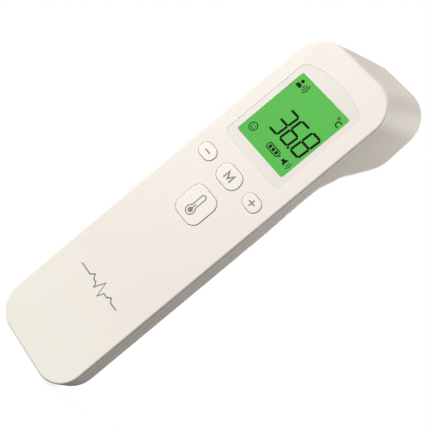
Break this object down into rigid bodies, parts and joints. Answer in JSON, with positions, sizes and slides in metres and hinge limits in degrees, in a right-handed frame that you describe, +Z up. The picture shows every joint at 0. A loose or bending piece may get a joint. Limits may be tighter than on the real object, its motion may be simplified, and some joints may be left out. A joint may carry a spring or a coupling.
{
  "type": "infrared forehead thermometer",
  "caption": "Handheld infrared thermometer: flat slab handle with a backlit display and push keys on the front, sensor horn at the head, battery door on the back.",
  "frame": {"origin": "middle of the flat end of the handle, half way through the handle's thickness", "axes": "+Z up the handle towards the display; the front face with the keys looks along -Y; the sensor looks along +Y and upwards; +X is to the right seen from the front"},
  "size_m": [0.042, 0.0454, 0.1678],
  "materials": {
    "casing": "satin moulded ABS, warm off-white",
    "door": "satin moulded ABS, warm off-white",
    "clear_window": "clear acrylic, polished",
    "white_film": "printed white adhesive film",
    "lcd_green": "display glass over a green backlight",
    "light_guide": "clear acrylic light guide",
    "led_yellow_green": "moulded LED body",
    "white_frame": "moulded nylon",
    "grey_rubber": "layered conductive rubber",
    "key": "smooth moulded ABS",
    "circuit_board": "green solder mask over glass fibre",
    "nickel": "nickel-plated spring steel",
    "chip_black": "moulded epoxy",
    "ceramic_chip": "fired ceramic with tinned ends",
    "screw_steel": "zinc-plated steel",
    "cell_jacket": "printed steel can with bare ends",
    "wire_red": "soft PVC insulation",
    "wire_black": "soft PVC insulation",
    "nozzle": "smooth moulded ABS",
    "black_rubber": "moulded silicone",
    "brass_sleeve": "turned brass",
    "sensor_metal": "nickel-plated can",
    "silicon": "coated silicon infrared filter",
    "gold_pin": "gold-plated wire",
    "clamp_black": "moulded nylon",
    "wire_mixed": "soft PVC insulation"
  },
  "bodies": {
    "casing": {"front_casing": "casing", "rear_casing": "casing", "display_window": "clear_window", "window_gasket": "white_film", "lcd_panel": "lcd_green", "lcd_backlight": "light_guide", "backlight_leds": "led_yellow_green", "lcd_holder": "white_frame", "zebra_strip": "grey_rubber", "main_board": "circuit_board", "tact_switches": "nickel", "controller_chip": "chip_black", "memory_chip": "chip_black", "chip_components": "ceramic_chip", "buzzer": "chip_black", "sensor_plug": "white_frame", "board_screws": "screw_steel", "casing_screws": "screw_steel", "battery_left": "cell_jacket", "battery_right": "cell_jacket", "battery_contact_positive": "nickel", "battery_contact_negative": "nickel", "battery_bridge": "nickel", "battery_wire_red": "wire_red", "battery_wire_black": "wire_black", "sensor_nozzle": "nozzle", "sensor_gasket": "black_rubber", "sensor_sleeve": "brass_sleeve", "sensor_can": "sensor_metal", "sensor_filter": "silicon", "sensor_header": "sensor_metal", "sensor_pins": "gold_pin", "sensor_board": "circuit_board", "sensor_clamp": "clamp_black", "clamp_screws": "screw_steel", "sensor_wires": "wire_mixed"},
    "battery_door": {"battery_door": "door"},
    "minus_key": {"minus_button": "key"},
    "mode_key": {"mode_button": "key"},
    "plus_key": {"plus_button": "key"},
    "measure_key": {"measure_button": "key"}
  },
  "joints": [
    {"name": "battery_door_slide", "type": "slide", "parent": "casing", "child": "battery_door", "axis": [0, 0, -1], "range_m": [0, 0.074]},
    {"name": "minus_key_press", "type": "slide", "parent": "casing", "child": "minus_key", "axis": [0, 1, 0], "range_m": [0, 0.0003], "stiffness_N_per_m": 1800, "springref_m": -0.0002},
    {"name": "mode_key_press", "type": "slide", "parent": "casing", "child": "mode_key", "axis": [0, 1, 0], "range_m": [0, 0.0003], "stiffness_N_per_m": 1800, "springref_m": -0.0002},
    {"name": "plus_key_press", "type": "slide", "parent": "casing", "child": "plus_key", "axis": [0, 1, 0], "range_m": [0, 0.0003], "stiffness_N_per_m": 1800, "springref_m": -0.0002},
    {"name": "measure_key_press", "type": "slide", "parent": "casing", "child": "measure_key", "axis": [0, 1, 0], "range_m": [0, 0.0003], "stiffness_N_per_m": 1800, "springref_m": -0.0002}
  ]
}
